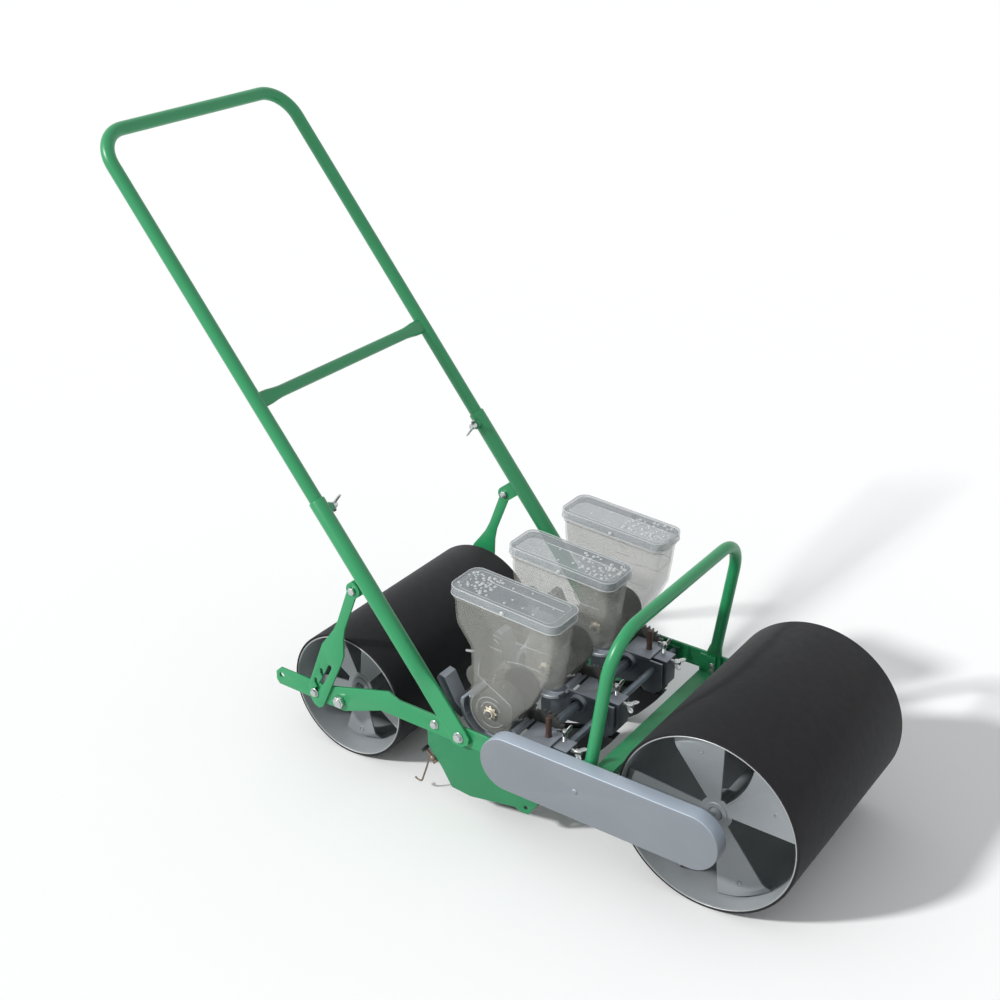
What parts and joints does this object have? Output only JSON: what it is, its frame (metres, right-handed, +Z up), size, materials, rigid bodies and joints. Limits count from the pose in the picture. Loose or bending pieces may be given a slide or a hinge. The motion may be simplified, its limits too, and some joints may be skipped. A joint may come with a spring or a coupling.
{
  "type": "walk-behind seed planter",
  "caption": "Hand-pushed seed planter: frame of flat bar on a rubber-covered front drive roller and a rear press roller, with clear hoppers, openers, chain drive and a tilting handle.",
  "frame": {"origin": "on the ground, under the middle of the whole planter's box", "axes": "+X is the way it is pushed, +Y is the side away from the chain guard, +Z is up"},
  "size_m": [1.0326, 0.3783, 0.8132],
  "materials": {
    "green_paint": "gloss enamel over steel tube and flat bar",
    "zinc_steel": "bright zinc plating",
    "grey_paint": "light grey paint over sheet steel",
    "rubber_skin": "fine ribbed black rubber",
    "dark_steel": "oiled steel",
    "brass": "turned brass",
    "cast_body": "blue-grey painted die casting",
    "clear_plastic": "clear moulded plastic, slightly smoky",
    "black_paint": "dark paint over cast steel",
    "nylon": "moulded nylon",
    "wire": "spring wire with a brown plastic knob"
  },
  "bodies": {
    "frame": {"side_bar_near": "green_paint", "side_bar_far": "green_paint", "side_plate_near": "green_paint", "side_plate_far": "green_paint", "cross_bar": "green_paint", "hoop": "green_paint", "clamp_rod": "zinc_steel", "chain_guard": "grey_paint", "drive_chain": "dark_steel", "frame_bolts": "zinc_steel", "axle_bushes": "brass", "rear_axle": "zinc_steel"},
    "front_roller": {"front_drum": "grey_paint", "front_skin": "rubber_skin", "front_spiders": "grey_paint", "front_axle": "zinc_steel", "front_sprocket": "dark_steel"},
    "rear_roller": {"rear_drum": "grey_paint", "rear_skin": "rubber_skin", "rear_spiders": "grey_paint"},
    "seed_drive": {"seed_shaft": "zinc_steel", "driven_sprocket": "dark_steel"},
    "handle_base": {"lower_tube_near": "green_paint", "lower_tube_far": "green_paint", "strut_bolts": "zinc_steel"},
    "handle_top": {"upper_handle": "green_paint"},
    "strut_near": {"strut_near": "green_paint"},
    "strut_far": {"strut_far": "green_paint"},
    "wing_bolt_near": {"wing_bolt_near": "zinc_steel"},
    "wing_bolt_far": {"wing_bolt_far": "zinc_steel"},
    "cover_wire": {"cover_wire": "wire"},
    "unit_1": {"unit_bracket_1": "cast_body", "hopper_1": "clear_plastic"},
    "lid_1": {"hopper_lid_1": "clear_plastic"},
    "opener_1": {"opener_1": "black_paint"},
    "pinion_1": {"pinion_1": "zinc_steel"},
    "metering_1": {"seed_roller_1": "nylon", "roller_nut_1": "brass"},
    "rod_screw_1": {"rod_screw_1": "zinc_steel"},
    "depth_screw_1": {"depth_screw_1": "zinc_steel"},
    "unit_2": {"unit_bracket_2": "cast_body", "hopper_2": "clear_plastic"},
    "lid_2": {"hopper_lid_2": "clear_plastic"},
    "opener_2": {"opener_2": "black_paint"},
    "pinion_2": {"pinion_2": "zinc_steel"},
    "metering_2": {"seed_roller_2": "nylon", "roller_nut_2": "brass"},
    "rod_screw_2": {"rod_screw_2": "zinc_steel"},
    "depth_screw_2": {"depth_screw_2": "zinc_steel"},
    "unit_3": {"unit_bracket_3": "cast_body", "hopper_3": "clear_plastic"},
    "lid_3": {"hopper_lid_3": "clear_plastic"},
    "opener_3": {"opener_3": "black_paint"},
    "pinion_3": {"pinion_3": "zinc_steel"},
    "metering_3": {"seed_roller_3": "nylon", "roller_nut_3": "brass"},
    "rod_screw_3": {"rod_screw_3": "zinc_steel"},
    "depth_screw_3": {"depth_screw_3": "zinc_steel"}
  },
  "joints": [
    {"name": "front_roller_spin", "type": "hinge", "parent": "frame", "child": "front_roller", "pos_m": [0.39632, 0, 0.12], "axis": [0, 1, 0], "continuous": true},
    {"name": "rear_roller_spin", "type": "hinge", "parent": "frame", "child": "rear_roller", "pos_m": [-0.14468, 0, 0.092], "axis": [0, 1, 0], "continuous": true},
    {"name": "seed_drive_spin", "type": "hinge", "parent": "frame", "child": "seed_drive", "pos_m": [0.14082, 0, 0.118], "axis": [0, 1, 0], "continuous": true},
    {"name": "handle_tilt", "type": "hinge", "parent": "frame", "child": "handle_base", "pos_m": [0.05632, 0, 0.118], "axis": [0, -1, 0], "range_deg": [0, 15]},
    {"name": "handle_length", "type": "slide", "parent": "handle_base", "child": "handle_top", "axis": [-0.6347, 0, 0.7727], "range_m": [-0.1, 0.06]},
    {"name": "strut_swing_near", "type": "hinge", "parent": "handle_base", "child": "strut_near", "pos_m": [-0.11164, -0.173, 0.276], "axis": [0, -1, 0], "range_deg": [-12.4, 0]},
    {"name": "wing_bolt_turn_near", "type": "hinge", "parent": "handle_base", "child": "wing_bolt_near", "pos_m": [-0.15631, -0.15, 0.37687], "axis": [0, 1, 0], "range_deg": [0, 360]},
    {"name": "strut_swing_far", "type": "hinge", "parent": "handle_base", "child": "strut_far", "pos_m": [-0.11164, 0.173, 0.276], "axis": [0, -1, 0], "range_deg": [-12.4, 0]},
    {"name": "wing_bolt_turn_far", "type": "hinge", "parent": "handle_base", "child": "wing_bolt_far", "pos_m": [-0.15631, 0.15, 0.37687], "axis": [0, 1, 0], "range_deg": [0, 360]},
    {"name": "cover_wire_turn", "type": "hinge", "parent": "frame", "child": "cover_wire", "pos_m": [-0.00568, -0.1655, 0.07], "axis": [0.7719, 0, -0.6357], "range_deg": [-25, 25]},
    {"name": "unit_slide_1", "type": "slide", "parent": "frame", "child": "unit_1", "axis": [0, 1, 0], "range_m": [-0.006, 0.006]},
    {"name": "lid_lift_1", "type": "slide", "parent": "unit_1", "child": "lid_1", "axis": [0.0541, 0, 0.9985], "range_m": [0, 0.04]},
    {"name": "opener_depth_1", "type": "slide", "parent": "unit_1", "child": "opener_1", "axis": [0, 0, 1], "range_m": [-0.02, 0.004]},
    {"name": "pinion_spin_1", "type": "hinge", "parent": "unit_1", "child": "pinion_1", "pos_m": [0.14082, -0.0994, 0.118], "axis": [0, 1, 0], "continuous": true},
    {"name": "metering_spin_1", "type": "hinge", "parent": "unit_1", "child": "metering_1", "pos_m": [0.0884, -0.1264, 0.15471], "axis": [0, 1, 0], "continuous": true},
    {"name": "rod_screw_turn_1", "type": "hinge", "parent": "unit_1", "child": "rod_screw_1", "pos_m": [0.17932, -0.1194, 0.14], "axis": [0, 0, 1], "range_deg": [0, 360]},
    {"name": "depth_screw_turn_1", "type": "hinge", "parent": "unit_1", "child": "depth_screw_1", "pos_m": [0.20132, -0.1264, 0.1273], "axis": [1, 0, 0], "range_deg": [0, 360]},
    {"name": "unit_slide_2", "type": "slide", "parent": "frame", "child": "unit_2", "axis": [0, 1, 0], "range_m": [-0.006, 0.006]},
    {"name": "lid_lift_2", "type": "slide", "parent": "unit_2", "child": "lid_2", "axis": [0.0541, 0, 0.9985], "range_m": [0, 0.04]},
    {"name": "opener_depth_2", "type": "slide", "parent": "unit_2", "child": "opener_2", "axis": [0, 0, 1], "range_m": [-0.02, 0.004]},
    {"name": "pinion_spin_2", "type": "hinge", "parent": "unit_2", "child": "pinion_2", "pos_m": [0.14082, 0.027, 0.118], "axis": [0, 1, 0], "continuous": true},
    {"name": "metering_spin_2", "type": "hinge", "parent": "unit_2", "child": "metering_2", "pos_m": [0.0884, 0, 0.15471], "axis": [0, 1, 0], "continuous": true},
    {"name": "rod_screw_turn_2", "type": "hinge", "parent": "unit_2", "child": "rod_screw_2", "pos_m": [0.17932, 0.007, 0.14], "axis": [0, 0, 1], "range_deg": [0, 360]},
    {"name": "depth_screw_turn_2", "type": "hinge", "parent": "unit_2", "child": "depth_screw_2", "pos_m": [0.20132, 0, 0.1273], "axis": [1, 0, 0], "range_deg": [0, 360]},
    {"name": "unit_slide_3", "type": "slide", "parent": "frame", "child": "unit_3", "axis": [0, 1, 0], "range_m": [-0.006, 0.006]},
    {"name": "lid_lift_3", "type": "slide", "parent": "unit_3", "child": "lid_3", "axis": [0.0541, 0, 0.9985], "range_m": [0, 0.04]},
    {"name": "opener_depth_3", "type": "slide", "parent": "unit_3", "child": "opener_3", "axis": [0, 0, 1], "range_m": [-0.02, 0.004]},
    {"name": "pinion_spin_3", "type": "hinge", "parent": "unit_3", "child": "pinion_3", "pos_m": [0.14082, 0.1534, 0.118], "axis": [0, 1, 0], "continuous": true},
    {"name": "metering_spin_3", "type": "hinge", "parent": "unit_3", "child": "metering_3", "pos_m": [0.0884, 0.1264, 0.15471], "axis": [0, 1, 0], "continuous": true},
    {"name": "rod_screw_turn_3", "type": "hinge", "parent": "unit_3", "child": "rod_screw_3", "pos_m": [0.17932, 0.1334, 0.14], "axis": [0, 0, 1], "range_deg": [0, 360]},
    {"name": "depth_screw_turn_3", "type": "hinge", "parent": "unit_3", "child": "depth_screw_3", "pos_m": [0.20132, 0.1264, 0.1273], "axis": [1, 0, 0], "range_deg": [0, 360]}
  ],
  "couplings": [
    {"joint": "seed_drive_spin", "follows": "front_roller_spin", "ratio": 1},
    {"joint": "strut_swing_near", "follows": "handle_tilt", "ratio": -0.827},
    {"joint": "strut_swing_far", "follows": "handle_tilt", "ratio": -0.827},
    {"joint": "pinion_spin_1", "follows": "front_roller_spin", "ratio": 1},
    {"joint": "metering_spin_1", "follows": "front_roller_spin", "ratio": -0.88235},
    {"joint": "pinion_spin_2", "follows": "front_roller_spin", "ratio": 1},
    {"joint": "metering_spin_2", "follows": "front_roller_spin", "ratio": -0.88235},
    {"joint": "pinion_spin_3", "follows": "front_roller_spin", "ratio": 1},
    {"joint": "metering_spin_3", "follows": "front_roller_spin", "ratio": -0.88235}
  ]
}
